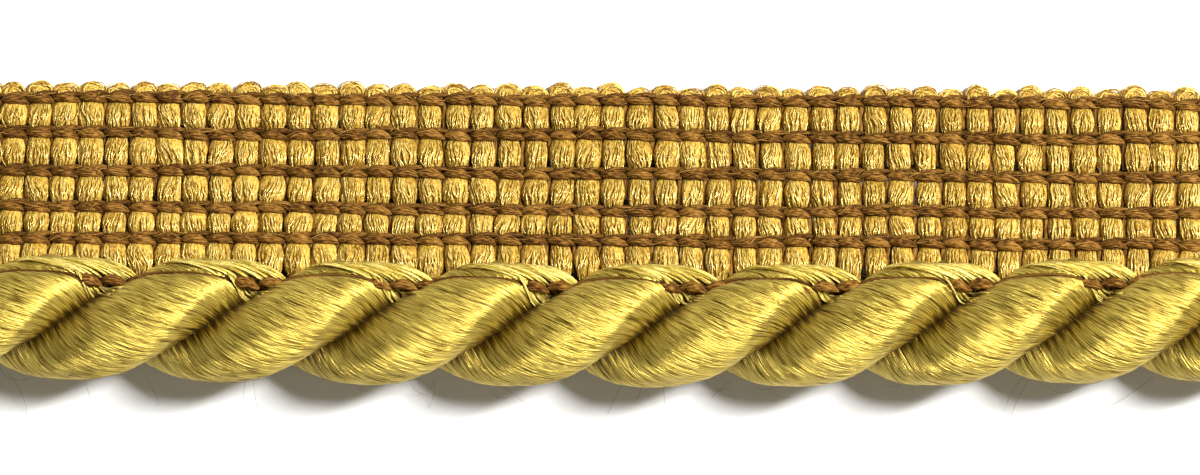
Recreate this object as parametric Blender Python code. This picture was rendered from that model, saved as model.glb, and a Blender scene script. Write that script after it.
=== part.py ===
"""Lipped twisted cord piping: a two-ply satin cord bound to a chain-stitched woven lip.

The cord runs along X, the lip spreads toward +Y and the piece lies on the plane z = 0.
"""
import math

import bmesh
import bpy

# ---------------------------------------------------------------- driving sizes (metres)
LENGTH = 0.110            # cut length of the trimming
GAP = 0.0003              # clearance between neighbouring pieces

CORD_RADIUS = 0.00475     # a 3/8 inch cord
AXIS_Y = -0.0063          # where the cord's axis runs
AXIS_Z = CORD_RADIUS - 0.00008   # the lobes are pressed slightly flat on the table
HALF_LAY = 0.01072        # spacing of neighbouring plies along the cord
FRONT_X = -0.0013         # where the first ply lies on top of the cord
TIGHTENING = 60.0         # growth of the twist along the cord, half turns per square metre
CORD_SWAY = 0.00033       # the cord's sideways wander
CORD_SWAY_HALF_WAVE = 0.062
PLY_HALF_WIDTH = 0.72 * CORD_RADIUS
PLY_CENTRE = 0.50 * CORD_RADIUS
PLY_PRESSING = 0.75       # below 1, a ply is pressed flat where it meets the other
RINGS_PER_LAY = 18
PLY_SIDES = 12
FINE_SIDES = 96           # for measuring clearances off a ply's outline

WEFT_COUNT = 56           # weft bundles, about 13 to the inch
WEFT_PITCH = LENGTH / WEFT_COUNT   # each chain has one stitch to each bundle
COLUMNS = 2 * WEFT_COUNT + 1       # sections of the lip and the chains, two to a bundle
ROW_REACH = {             # each chain's distance from the cord's axis
    "chain_row_1": 0.0163,
    "chain_row_2": 0.0138,
    "chain_row_3": 0.0109,
    "chain_row_4": 0.0082,
    "chain_row_5": 0.0059,
}
LIP_SKEW = -0.0060        # the lip drifts toward the cord along X
LIP_SLOPE = 0.40          # fall of the lip per metre of width
FOLD_REACH = 0.0163       # where the sloping underside meets the table
LOOP_REACH = {"long": 0.0176, "short": 0.0171, "between": 0.0168}
LOOP_EDGE = 0.00055       # thickness of the outer loops at their tips
PILLOW = 0.00150          # height of a weft pillow over the lip's underside
PILLOW_VALLEY = 0.00100   # and between two pillows
GROOVE = 0.00035          # height of a groove's bottom over the underside
GROOVE_HALF_WIDTH = 0.00080
LIP_ROOT = (0.0048, 0.0066)   # heights between which the lip meets the cord
EDGE_BEVEL = 0.00010      # softening of the lip's edge along the cord
EDGE_SHARE = 0.78         # height of the lip near its edges, as a share of a pillow's
CHAIN_SEAT = 0.00083      # height of a chain's lowest edge over the underside
CHAIN_WIDE = 0.00052      # half width in the middle of a stitch
CHAIN_NARROW = 0.00030    # and where two stitches meet
CHAIN_RISE = 1.25         # slope of a chain's flanks

BINDING_ANGLE = math.radians(50)   # place of the binding chain, from the cord's top
BINDING_MEAN = 0.00393    # the binding chain's mean distance from the cord's axis
BINDING_SWING = 0.00028   # and its rise over each ply
BINDING_GROOVE_RADIUS = 0.00100
BINDING_INNER = 0.00040   # reach of the chain below and above its centre line
BINDING_OUTER = 0.00035
CUTTER_SIDES = 8

GOLD_SATIN = ((0.62, 0.42, 0.09, 1.0), 0.30)
GOLD_WEFT = ((0.58, 0.36, 0.09, 1.0), 0.45)
BROWN_YARN = ((0.24, 0.10, 0.025, 1.0), 0.80)


# ---------------------------------------------------------------- scene helpers
def clear_scene():
    """Remove every object."""
    for old in list(bpy.data.objects):
        bpy.data.objects.remove(old, do_unlink=True)


def make_collection(name):
    """Add a collection to the scene."""
    collection = bpy.data.collections.new(name)
    bpy.context.scene.collection.children.link(collection)
    return collection


def make_material(name, look):
    """Make a Principled material from a colour and a roughness."""
    colour, roughness = look
    material = bpy.data.materials.new(name)
    material.use_nodes = True
    shader = material.node_tree.nodes["Principled BSDF"]
    shader.inputs["Base Color"].default_value = colour
    shader.inputs["Roughness"].default_value = roughness
    shader.inputs["Metallic"].default_value = 0.0
    return material


def loft(name, rings, collection, material=None):
    """Join equal closed sections into one capped solid."""
    mesh_data = bmesh.new()
    rows = [[mesh_data.verts.new(point) for point in ring] for ring in rings]
    sides = len(rings[0])
    for near, far in zip(rows, rows[1:]):
        for side in range(sides):
            after = (side + 1) % sides
            mesh_data.faces.new((near[side], near[after], far[after], far[side]))
    mesh_data.faces.new(rows[0][::-1])
    mesh_data.faces.new(rows[-1])
    bmesh.ops.recalc_face_normals(mesh_data, faces=mesh_data.faces)
    mesh = bpy.data.meshes.new(name)
    mesh_data.to_mesh(mesh)
    mesh_data.free()
    obj = bpy.data.objects.new(name, mesh)
    collection.objects.link(obj)
    if material is not None:
        mesh.materials.append(material)
    return obj


# ---------------------------------------------------------------- the cord's form
def half_turns(x):
    """Half turns of the twist since FRONT_X; the lay tightens along the cord."""
    run = x - FRONT_X
    return run / HALF_LAY + TIGHTENING * run * run


def cord_y(x):
    """The axis of the cord, which wanders a little."""
    return AXIS_Y + CORD_SWAY * math.cos(math.pi * (x + LENGTH / 2) / CORD_SWAY_HALF_WAVE)


def ply_section(sides):
    """A ply's outline as (across, outward): oval, a little flat against its neighbour."""
    points = []
    for step in range(sides):
        turn = 2 * math.pi * step / sides
        across = PLY_HALF_WIDTH * math.sin(turn)
        outward = math.cos(turn)
        if outward >= 0:
            outward = PLY_CENTRE + (CORD_RADIUS - PLY_CENTRE) * outward
        else:
            outward = PLY_CENTRE - (PLY_CENTRE - GAP / 2) * (-outward) ** PLY_PRESSING
        points.append((across, outward))
    return points


def ply_ring(x, phase, sides):
    """One ply's section at x, turned to its place round the cord."""
    angle = math.pi * (half_turns(x) + phase)
    ring = []
    for across, outward in ply_section(sides):
        y = cord_y(x) + outward * math.sin(angle) + across * math.cos(angle)
        z = AXIS_Z + outward * math.cos(angle) - across * math.sin(angle)
        ring.append((x, y, max(z, 0.0)))
    return ring


def cord_flank(x, low, high):
    """The cord's reach toward the lip between two heights."""
    reach = 0.0
    for phase in (0, 1):
        for _, y, z in ply_ring(x, phase, FINE_SIDES):
            if low <= z <= high:
                reach = max(reach, y - cord_y(x))
    return cord_y(x) + reach


# ---------------------------------------------------------------- the lip's form
def column_x(column):
    """Place of a column along the cord."""
    return -LENGTH / 2 + column * WEFT_PITCH / 2


def lip_y(x, reach):
    """A line along the lip, at its reach from the cord's axis."""
    return AXIS_Y + reach + LIP_SKEW * x


def underside(y):
    """Height of the lip's underside: a slope that ends flat on the table."""
    return max(0.0, (AXIS_Y + FOLD_REACH - y) * LIP_SLOPE)


def groove_flank(distance, height):
    """Height of the lip beside a groove, no higher than the groove's own flank."""
    flank = GROOVE + (PILLOW - GROOVE) * distance / GROOVE_HALF_WIDTH
    return min(height, flank)


def lip_ring(column):
    """The lip's section at one column: even columns lie between two weft bundles."""
    x = column_x(column)
    on_weft = column % 2 == 1
    height = PILLOW if on_weft else PILLOW_VALLEY
    if not on_weft:
        tip = LOOP_REACH["between"]
    elif column % 4 == 1:
        tip = LOOP_REACH["long"]
    else:
        tip = LOOP_REACH["short"]
    inner = cord_flank(x, *LIP_ROOT) + GAP
    last_groove = lip_y(x, ROW_REACH["chain_row_5"])
    crest = max(last_groove - GROOVE_HALF_WIDTH, inner + EDGE_BEVEL)
    top = [(inner, EDGE_SHARE * groove_flank(last_groove - inner, height))]
    top.append((crest, groove_flank(last_groove - crest, height)))
    grooves = sorted(ROW_REACH.values())
    for here, after in zip(grooves, grooves[1:]):
        top.append((lip_y(x, here), GROOVE))
        top.append((lip_y(x, here + GROOVE_HALF_WIDTH), height))
        top.append((lip_y(x, after - GROOVE_HALF_WIDTH), height))
    top.append((lip_y(x, grooves[-1]), GROOVE))
    shoulder = (grooves[-1] + GROOVE_HALF_WIDTH + tip) / 2
    top.append((lip_y(x, shoulder), EDGE_SHARE * height))
    top.append((lip_y(x, tip), LOOP_EDGE))
    ring = [(x, y, underside(y) + rise) for y, rise in top]
    ring.append((x, lip_y(x, tip), 0.0))
    ring.append((x, AXIS_Y + FOLD_REACH, 0.0))
    ring.append((x, inner, underside(inner)))
    return ring


def stitch_half_width(column):
    """A chain is wide in the middle of a stitch and narrow at its ends."""
    return CHAIN_WIDE if column % 2 == 1 else CHAIN_NARROW


# ---------------------------------------------------------------- the pieces
def build_plies(collection, material, cutter):
    """The two yarns of the cord, with the groove that the binding chain presses in."""
    count = round(LENGTH / (2 * HALF_LAY) * RINGS_PER_LAY)
    stations = [-LENGTH / 2 + LENGTH * step / count for step in range(count + 1)]
    for phase in (0, 1):
        rings = [ply_ring(x, phase, PLY_SIDES) for x in stations]
        ply = loft(f"cord_ply_{phase + 1}", rings, collection, material)
        cut = ply.modifiers.new("Binding groove", "BOOLEAN")
        cut.object = cutter
        cut.operation = "DIFFERENCE"


def binding_centre(x):
    """The binding chain's distance from the axis: sunk over the plies, lower between them."""
    away = BINDING_ANGLE - math.pi * half_turns(x)
    return BINDING_MEAN + BINDING_SWING * math.cos(2 * away)


def around_binding(x, outward, across):
    """A point near the binding chain's centre line, in the cord's own directions."""
    radius = binding_centre(x) + outward
    sine = math.sin(BINDING_ANGLE)
    cosine = math.cos(BINDING_ANGLE)
    y = cord_y(x) + radius * sine + across * cosine
    z = AXIS_Z + radius * cosine - across * sine
    return (x, y, z)


def build_binding_cutter(collection):
    """A round groove along the binding chain, longer than the cord."""
    turns = [2 * math.pi * (side + 0.5) / CUTTER_SIDES for side in range(CUTTER_SIDES)]
    rings = []
    for column in range(-2, COLUMNS + 2):
        x = column_x(column)
        ring = []
        for turn in turns:
            outward = BINDING_GROOVE_RADIUS * math.cos(turn)
            across = BINDING_GROOVE_RADIUS * math.sin(turn)
            ring.append(around_binding(x, outward, across))
        rings.append(ring)
    cutter = loft("binding_groove_cutter", rings, collection)
    cutter.hide_render = True
    cutter.display_type = "WIRE"
    return cutter


def build_binding_chain(collection, material):
    """The brown chain that binds the cord to the lip."""
    rings = []
    for column in range(COLUMNS):
        x = column_x(column)
        half = stitch_half_width(column)
        ring = [
            around_binding(x, -BINDING_INNER, 0.0),
            around_binding(x, BINDING_OUTER, half),
            around_binding(x, BINDING_OUTER, -half),
        ]
        rings.append(ring)
    loft("binding_chain", rings, collection, material)


def build_lip(collection, material):
    """The woven tape with pillows, chain grooves and outer loops."""
    rings = [lip_ring(column) for column in range(COLUMNS)]
    loft("lip", rings, collection, material)


def build_chain_rows(collection, material):
    """The five warp chains that lie in the lip's grooves."""
    for name, reach in ROW_REACH.items():
        rings = []
        for column in range(COLUMNS):
            x = column_x(column)
            y = lip_y(x, reach)
            half = stitch_half_width(column)
            bottom = underside(y) + CHAIN_SEAT
            top = bottom + CHAIN_RISE * half
            rings.append([(x, y, bottom), (x, y + half, top), (x, y - half, top)])
        loft(name, rings, collection, material)


def main():
    """Build the trimming."""
    clear_scene()
    piping = make_collection("Twisted Cord Piping")
    cutters = make_collection("Cutters")
    satin = make_material("Gold satin", GOLD_SATIN)
    weft = make_material("Gold weft", GOLD_WEFT)
    brown = make_material("Brown yarn", BROWN_YARN)
    cutter = build_binding_cutter(cutters)
    build_plies(piping, satin, cutter)
    build_lip(piping, weft)
    build_chain_rows(piping, brown)
    build_binding_chain(piping, brown)


main()
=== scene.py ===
import math
from math import pi, radians

import bpy
import numpy as np
from numpy.random import default_rng
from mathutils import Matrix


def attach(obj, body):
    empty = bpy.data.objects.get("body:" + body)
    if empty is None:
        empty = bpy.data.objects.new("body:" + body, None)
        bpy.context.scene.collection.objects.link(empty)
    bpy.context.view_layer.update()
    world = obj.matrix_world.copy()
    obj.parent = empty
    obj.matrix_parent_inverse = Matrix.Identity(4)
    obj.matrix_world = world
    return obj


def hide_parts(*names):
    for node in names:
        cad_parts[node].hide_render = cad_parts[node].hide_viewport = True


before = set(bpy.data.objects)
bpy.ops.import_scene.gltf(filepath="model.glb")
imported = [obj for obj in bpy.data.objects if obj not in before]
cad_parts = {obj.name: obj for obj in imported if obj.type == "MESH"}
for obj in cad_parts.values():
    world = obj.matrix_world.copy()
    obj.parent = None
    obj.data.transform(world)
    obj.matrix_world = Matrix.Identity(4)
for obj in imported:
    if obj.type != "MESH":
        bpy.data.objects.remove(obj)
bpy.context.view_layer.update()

SCENE = bpy.context.scene

# -------- sizes shared with the frame (metres)
LENGTH = 0.110
HALF_LENGTH = LENGTH / 2
CORD_RADIUS = 0.00475
AXIS_Y = -0.0063  # the cord's axis
AXIS_Z = CORD_RADIUS - 0.00008
HALF_LAY = 0.01072  # spacing of neighbouring plies along the cord
FRONT_X = -0.0013  # where the first ply lies on top
TIGHTENING = 60.0  # growth of the twist, half turns per square metre
CORD_SWAY = 0.00033  # sideways wander of the axis
CORD_SWAY_HALF_WAVE = 0.062
PLY_HALF_WIDTH = 0.72 * CORD_RADIUS
PLY_CENTRE = 0.42 * CORD_RADIUS  # middle of a ply's section, from the cord's axis
CREASE_ANGLE = radians(51)  # place of the binding chain round the cord
BINDING_RADIUS = 0.755 * CORD_RADIUS  # and its distance from the axis
WEFT_COUNT = 56  # weft bundles of the lip, and stitches of each chain
WEFT_PITCH = LENGTH / WEFT_COUNT
ROWS = (0.01645, 0.0138, 0.0109, 0.0082, 0.00585)  # chains 1 to 5, from the cord's axis
LIP_SKEW = -0.0060  # the lip's rows slant a little against the cord
LIP_SLOPE = 0.40  # the lip's fall from the cord's flank to the table
FOLD_REACH = 0.0163  # where it meets the table, from the cord's axis
TABLE_GAP = 0.00002  # least height over the table

# -------- seeds of the random draws
LIP_SEED = 3
PLY_SEED = 10
ROW_SEED = 30
CHAIN_SEED = 40
BINDING_SEED = 50
THREAD_SEED = 51
WING_SEED = 60
STUB_SEED = 61
FUZZ_SEED = 62
STRAY_SEED = 77
HAIR_SEED = 78

# -------- vectors shared by the pieces
UP = np.array([0.0, 0.0, 1.0])
ALONG = np.array([1.0, 0.0, 0.0])
CREASE_UP = np.array([0.0, math.sin(CREASE_ANGLE), math.cos(CREASE_ANGLE)])


# -------- helpers
def half_turns(x):
    """Half turns of the cord's twist since FRONT_X."""
    run = x - FRONT_X
    return run / HALF_LAY + TIGHTENING * run * run


def turns_to_run(turns):
    """The run from FRONT_X that makes a number of half turns: the inverse of half_turns."""
    return 2 * turns / (1 / HALF_LAY + np.sqrt(1 / HALF_LAY**2 + 4 * TIGHTENING * turns))


def cord_y(x):
    """The cord's axis, which wanders a little."""
    return AXIS_Y + CORD_SWAY * np.cos(pi * (x + HALF_LENGTH) / CORD_SWAY_HALF_WAVE)


def lip_y(x, reach):
    """A line along the lip at its reach from the cord's axis."""
    return AXIS_Y + reach + LIP_SKEW * x


def underside(y):
    """Height of the lip's underside."""
    return np.maximum(0.0, (AXIS_Y + FOLD_REACH - y) * LIP_SLOPE)


def round_cord(x, radius, angle):
    """Points at a distance from the cord's axis and an angle round it, from the top."""
    return np.stack([x, cord_y(x) + radius * np.sin(angle), AXIS_Z + radius * np.cos(angle)], axis=-1)


def inside(x, margin):
    """Whether a run along the cord stays a margin clear of the cut ends."""
    return x[0] >= -HALF_LENGTH + margin and x[-1] <= HALF_LENGTH - margin


def smooth_step(share):
    """A share from 0 to 1, eased at both ends."""
    return share * share * (3 - 2 * share)


def taper(share, start, run, power):
    """Thickness along a strand: part of a half wave, to a power."""
    return np.sin(pi * (start + run * share)) ** power


def smooth_noise(rng, shape, cells, wrap=False):
    """Smooth random field from -1 to 1: shape gives its size and cells its grain."""
    grid = rng.uniform(-1, 1, (cells[0] + 2, cells[1] + 2))
    if wrap:
        grid[:, cells[1]:] = grid[:, :2]
    rows = np.linspace(0, cells[0], shape[0])
    columns = np.linspace(0, cells[1], shape[1])
    r = np.minimum(rows.astype(int), cells[0])
    c = np.minimum(columns.astype(int), cells[1])
    down = smooth_step(rows - r)[:, None]
    over = smooth_step(columns - c)[None, :]
    low = grid[r][:, c] * (1 - over) + grid[r][:, c + 1] * over
    high = grid[r + 1][:, c] * (1 - over) + grid[r + 1][:, c + 1] * over
    return low * (1 - down) + high * down


def new_piece(name, points, faces, uv, tint, material):
    """Make a smooth mesh object from points, faces, corner UVs and a tint for each point."""
    mesh = bpy.data.meshes.new(name)
    mesh.from_pydata(points.tolist(), [], faces)
    layer = mesh.uv_layers.new(name="Yarn")
    layer.data.foreach_set("uv", uv.astype(np.float32).ravel())
    shade = mesh.attributes.new("tint", "FLOAT", "POINT")
    shade.data.foreach_set("value", tint.astype(np.float32).ravel())
    mesh.polygons.foreach_set("use_smooth", np.ones(len(faces), dtype=bool))
    mesh.materials.append(material)
    mesh.update()
    piece = bpy.data.objects.new(name, mesh)
    SCENE.collection.objects.link(piece)
    return piece


def join(parts, name):
    """Join meshes into one object."""
    bpy.ops.object.select_all(action="DESELECT")
    for part in parts:
        part.select_set(True)
    bpy.context.view_layer.objects.active = parts[0]
    bpy.ops.object.join()
    parts[0].name = name
    parts[0].data.name = name
    return parts[0]


def grid_faces(tubes, stations, sides):
    """Quads of closed tubes and their corner UVs: U runs along a tube and V round it."""
    order = [np.arange(tubes), np.arange(stations - 1), np.arange(sides)]
    t, s, k = np.meshgrid(*order, indexing="ij")
    base = t * stations * sides
    after = (k + 1) % sides
    near = base + s * sides
    far = near + sides
    quads = np.stack([near + k, near + after, far + after, far + k], axis=-1)
    us = np.stack([s, s, s + 1, s + 1], axis=-1) / (stations - 1)
    vs = t[..., None] + np.stack([k, k + 1, k + 1, k], axis=-1) / sides
    uv = np.stack([us, vs], axis=-1)
    return quads.reshape(-1, 4), uv.reshape(-1, 2)


def end_caps(tubes, stations, sides):
    """The flat faces that close both ends of each tube."""
    caps = []
    for tube in range(tubes):
        start = tube * stations * sides
        end = start + (stations - 1) * sides
        caps.append(list(range(start + sides - 1, start - 1, -1)))
        caps.append(list(range(end, end + sides)))
    return caps


def make_tubes(name, centres, side, up, wide, high, sides, tint, material, swell=0.0):
    """Join many oval tubes, along centres (tube, station, xyz), into one piece."""
    tubes, stations = centres.shape[:2]
    turn = 2 * pi * np.arange(sides) / sides
    across = wide[..., None] * np.cos(turn) * (1.0 + swell)
    rise = high[..., None] * np.sin(turn) * (1.0 + swell)
    points = centres[:, :, None, :] + across[..., None] * side[:, :, None, :]
    points = points + rise[..., None] * up[:, :, None, :]
    quads, uv = grid_faces(tubes, stations, sides)
    caps = end_caps(tubes, stations, sides)
    uv = np.concatenate([uv, np.zeros((2 * tubes * sides, 2))])
    shade = np.repeat(tint, stations * sides)
    return new_piece(name, points.reshape(-1, 3), quads.tolist() + caps, uv, shade, material)


def frames_along(centres, up_hint):
    """Side and up vectors for tubes that run along their centres."""
    along = np.gradient(centres, axis=1)
    along /= np.linalg.norm(along, axis=-1, keepdims=True)
    side = np.cross(along, up_hint)
    side /= np.linalg.norm(side, axis=-1, keepdims=True)
    return side, np.cross(side, along)


def make_fibres(name, centres, radius, tint, material):
    """Join fine three-sided fibres, with one radius or one for each, into one piece."""
    side, up = frames_along(centres, UP)
    thick = radius * np.ones(centres.shape[:2])
    return make_tubes(name, centres, side, up, thick, thick, 3, tint, material)


def mixed_fibres(rng, name, centres, radius, mix, material):
    """Fibres that each have their own thickness and tint."""
    radius = radius * rng.uniform(*mix, (len(centres), 1))
    return make_fibres(name, centres, radius, rng.uniform(0, 1, len(centres)), material)


# -------- materials
# In a look, fine and grain are how often the colour streaks and the bump change along and across the
# yarn, tint_share is how much a fibre's tint (its own tone, and painted shade on the plies) moves its
# colour, and stops are places and colours.
YARN = dict(metallic=0.1, roughness=0.5, specular=0.4, anisotropy=0.5, sheen=0.0, bump=1.0)
SATIN = dict(
    YARN,
    fine=(70.0, 270.0), grain=(110.0, 220.0), tint_share=0.25,
    stops=(
        (0.36, (0.060, 0.027, 0.002)), (0.49, (0.25, 0.160, 0.009)), (0.63, (0.70, 0.535, 0.100)),
    ),
    metallic=0.74, roughness=0.37, specular=0.6, anisotropy=0.84, sheen=0.03, bump_depth=0.00012,
)
WING = dict(
    SATIN,
    fine=(3.0, 5.0), grain=(10.0, 12.0), tint_share=0.2,
    stops=(
        (0.34, (0.30, 0.19, 0.012)), (0.48, (0.60, 0.44, 0.06)), (0.62, (0.86, 0.70, 0.20)),
    ),
    roughness=0.5, anisotropy=0.5,
)
WEFT_CORE = dict(
    YARN,
    fine=(60.0, 30.0), grain=(120.0, 40.0), tint_share=0.2,
    stops=(
        (0.34, (0.27, 0.140, 0.010)), (0.5, (0.52, 0.310, 0.036)), (0.66, (0.76, 0.50, 0.085)),
    ),
    bump_depth=0.00015,
)
WEFT_FILAMENT = dict(
    YARN,
    fine=(56.0, 2.6), grain=(90.0, 3.0), tint_share=0.18,
    stops=(
        (0.36, (0.25, 0.125, 0.010)), (0.5, (0.67, 0.405, 0.050)), (0.62, (1.0, 0.79, 0.25)),
    ),
    metallic=0.30, roughness=0.24, specular=0.6, bump=0.8, bump_depth=0.00003,
)
EDGE_LOOP = dict(
    YARN,
    fine=(12.0, 0.9), grain=(40.0, 3.0), tint_share=0.35,
    stops=(
        (0.32, (0.18, 0.083, 0.004)), (0.5, (0.50, 0.285, 0.030)), (0.68, (0.88, 0.62, 0.14)),
    ),
    roughness=0.4, anisotropy=0.4, bump=0.3, bump_depth=0.00002,
)
WARP = dict(
    YARN,
    fine=(4.0, 24.0), grain=(7.0, 38.0), tint_share=0.40,
    stops=(
        (0.40, (0.042, 0.014, 0.001)), (0.5, (0.150, 0.061, 0.005)), (0.61, (0.31, 0.155, 0.028)),
    ),
    metallic=0.0, roughness=0.75, specular=0.12, anisotropy=0.0, bump_depth=0.00008,
)
FUZZ = dict(
    WARP,
    tint_share=0.6, bump=0.0,
    stops=(
        (0.36, (0.055, 0.020, 0.002)), (0.5, (0.20, 0.090, 0.010)), (0.64, (0.50, 0.27, 0.06)),
    ),
)
LOOK_SOCKETS = {
    "Metallic": "metallic", "Roughness": "roughness", "Specular IOR Level": "specular",
    "Sheen Weight": "sheen",
}
STREAK_DETAIL = 3.0
GRAIN_DETAIL = 4.0
SHEEN = {"Sheen Roughness": 0.4, "Sheen Tint": (1.0, 0.9, 0.6, 1.0)}
GLOSS_TURN = 0.25  # a quarter turn sets the gloss across the yarn


def set_inputs(node, values):
    """Set a node's plain inputs."""
    for name, value in values.items():
        node.inputs[name].default_value = value


def new_node(nodes, kind, **values):
    """A new node with its plain inputs."""
    node = nodes.new("ShaderNode" + kind)
    set_inputs(node, values)
    return node


def new_material(name):
    """A material with a Principled shader, its nodes and its links."""
    material = bpy.data.materials.new(name)
    material.use_nodes = True
    nodes = material.node_tree.nodes
    return material, nodes, material.node_tree.links, nodes["Principled BSDF"]


def streaks(nodes, links, scale, detail):
    """Noise drawn out along the yarn, from its UVs."""
    coords = new_node(nodes, "UVMap")
    coords.uv_map = "Yarn"
    mapping = new_node(nodes, "Mapping", Scale=(*scale, 1.0))
    noise = new_node(nodes, "TexNoise", Scale=1.0, Detail=detail)
    links.new(coords.outputs["UV"], mapping.inputs["Vector"])
    links.new(mapping.outputs["Vector"], noise.inputs["Vector"])
    return noise.outputs["Fac"]


def colour_ramp(nodes, links, factor, stops):
    """Three colours along a factor."""
    ramp = new_node(nodes, "ValToRGB")
    ramp.color_ramp.elements.new(0.5)
    for element, (place, colour) in zip(ramp.color_ramp.elements, stops):
        element.position = place
        element.color = (*colour, 1.0)
    links.new(factor, ramp.inputs["Fac"])
    return ramp.outputs["Color"]


def arithmetic(nodes, links, operation, *values):
    """A Math node over sockets and plain numbers."""
    node = new_node(nodes, "Math")
    node.operation = operation
    for socket, value in zip(node.inputs, values):
        if isinstance(value, float):
            socket.default_value = value
        else:
            links.new(value, socket)
    return node.outputs["Value"]


def yarn_material(name, look):
    """Yarn: streaked colour from noise and each fibre's tint, fine bump, directed gloss."""
    material, nodes, links, shader = new_material(name)
    fine = streaks(nodes, links, look["fine"], STREAK_DETAIL)
    # The tint attribute holds each fibre's own tone, and on the satin plies also painted shade.
    tint = new_node(nodes, "Attribute")
    tint.attribute_name = "tint"
    share = look["tint_share"]
    factor = arithmetic(nodes, links, "MULTIPLY_ADD", tint.outputs["Fac"], share, fine)
    factor = arithmetic(nodes, links, "SUBTRACT", factor, share / 2)
    colour = colour_ramp(nodes, links, factor, look["stops"])
    links.new(colour, shader.inputs["Base Color"])
    set_inputs(shader, {socket: look[key] for socket, key in LOOK_SOCKETS.items()})
    set_inputs(shader, SHEEN)
    if look["anisotropy"] > 0:
        set_inputs(shader, {"Anisotropic": look["anisotropy"], "Anisotropic Rotation": GLOSS_TURN})
        tangent = new_node(nodes, "Tangent")
        tangent.direction_type = "UV_MAP"
        tangent.uv_map = "Yarn"
        links.new(tangent.outputs["Tangent"], shader.inputs["Tangent"])
    bump = new_node(nodes, "Bump", Strength=look["bump"], Distance=look["bump_depth"])
    links.new(streaks(nodes, links, look["grain"], GRAIN_DETAIL), bump.inputs["Height"])
    links.new(bump.outputs["Normal"], shader.inputs["Normal"])
    return material


# -------- the cord
PLY_FIBRES = 300  # mesh lines round a ply, each along a fibre
PLY_RINGS = 208
FIBRE_TWIST = 2.3  # turns of the fibres back round a ply for each turn of the ply
FIBRE_TWIST_SWING = 0.5  # they turn faster on a ply's flanks than on its crest
FIBRE_TWIST_PLACE = radians(-20)
FIBRE_STEPS = 4001
PLY_OVERLAP = 0.00095  # the plies press into each other
CREASE_DEPTH = 0.00042
CREASE_HALF_WIDTH = 0.00017
TROUGH_DEPTH = 0.00022  # soft trough beside the crease
TROUGH_HALF_WIDTH = 0.00075
CREASE_SPAN = 100.0  # degrees from a ply's middle where the crease ends
CREASE_FADE = 35.0
SLIT_DEPTH = 0.00011  # depth of the slits between fibre groups
SLIT_CELLS = 84
SLIT_STRENGTHS = (0.1, 0.45, 0.85)
SLIT_CHANCES = (0.35, 0.40, 0.25)
SWELL_DEPTH = 0.00005  # broad swell of the skin
SWELL_CELLS = (16, 14)
ROPE_DEPTH = 0.00002  # relief of the fibre groups
ROPE_CELLS = (30, 60)
FINE_DEPTH = 0.000022  # relief of single fibres
FINE_CELLS = 52
SATIN_TINT = 0.78
SLIT_PAINTED_SHADE = 0.95  # painted shade: how much darker the fibres are coloured in a slit
GROOVE_PAINTED_SHADE = 1.15  # painted shade where the plies meet, in the groove
GROOVE_EDGE = 120.0  # degrees from a ply's crest where that painted shade starts
GROOVE_FADE = 12.0
CUT_RINGS = 5  # rings that close a cut end
CUT_HOLE = 0.6  # size of the flat face in the middle, in rings
CUT_TUFT = 0.00025  # how far the cut fibres stand out
CUT_UV = ((0.0, 0.0), (0.0, 0.01), (0.01, 0.01), (0.01, 0.0))


def fibre_table():
    """How far round a ply a fibre lies, against the share of its own turn."""
    place = np.linspace(-pi, pi, FIBRE_STEPS)
    rate = FIBRE_TWIST - FIBRE_TWIST_SWING * np.cos(place - FIBRE_TWIST_PLACE)
    steps = (1 / rate[1:] + 1 / rate[:-1]) / 2 * np.diff(place)
    return place, np.concatenate([[0.0], np.cumsum(steps)])


FIBRE_PLACE, FIBRE_LABEL = fibre_table()
LABEL_TURN = FIBRE_LABEL[-1]


def fibre_place(label, theta):
    """Where a fibre lies in its ply's section once the ply has turned by theta."""
    return np.interp(np.mod(label - theta, LABEL_TURN), FIBRE_LABEL, FIBRE_PLACE)


def ply_section(place):
    """A ply's section: outward from the cord's axis, and across."""
    bulge = np.cos(place)
    inner = (PLY_CENTRE + PLY_OVERLAP) * bulge
    outward = PLY_CENTRE + np.where(bulge >= 0, (CORD_RADIUS - PLY_CENTRE) * bulge, inner)
    return outward, PLY_HALF_WIDTH * np.sin(place)


def ply_point(x, place, theta, lift):
    """A point of a ply's skin, lifted outward."""
    outward, across = ply_section(place)
    tilt_across = np.sin(place) / PLY_HALF_WIDTH
    tilt_out = np.cos(place) / PLY_CENTRE
    size = np.hypot(tilt_across, tilt_out)
    across = across + lift * tilt_across / size
    outward = outward + lift * tilt_out / size
    y = cord_y(x) + outward * np.sin(theta) + across * np.cos(theta)
    z = AXIS_Z + outward * np.cos(theta) - across * np.sin(theta)
    return y, z


def press_crease(x, y, z, theta):
    """Draw the skin in where the binding chain is buried in it."""
    dy = y - cord_y(x)
    dz = z - AXIS_Z
    radius = np.hypot(dy, dz)
    away = CREASE_ANGLE - theta
    away = np.degrees(np.arctan2(np.sin(away), np.cos(away)))
    window = np.clip((CREASE_SPAN - np.abs(away)) / CREASE_FADE, 0, 1)
    near = (np.arctan2(dy, dz) - CREASE_ANGLE) * radius
    sharp = CREASE_DEPTH * np.exp(-((near / CREASE_HALF_WIDTH) ** 2))
    soft = TROUGH_DEPTH * np.exp(-((near / TROUGH_HALF_WIDTH) ** 2))
    scale = 1 - window * (sharp + soft) / radius
    return cord_y(x) + dy * scale, AXIS_Z + dz * scale


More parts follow.
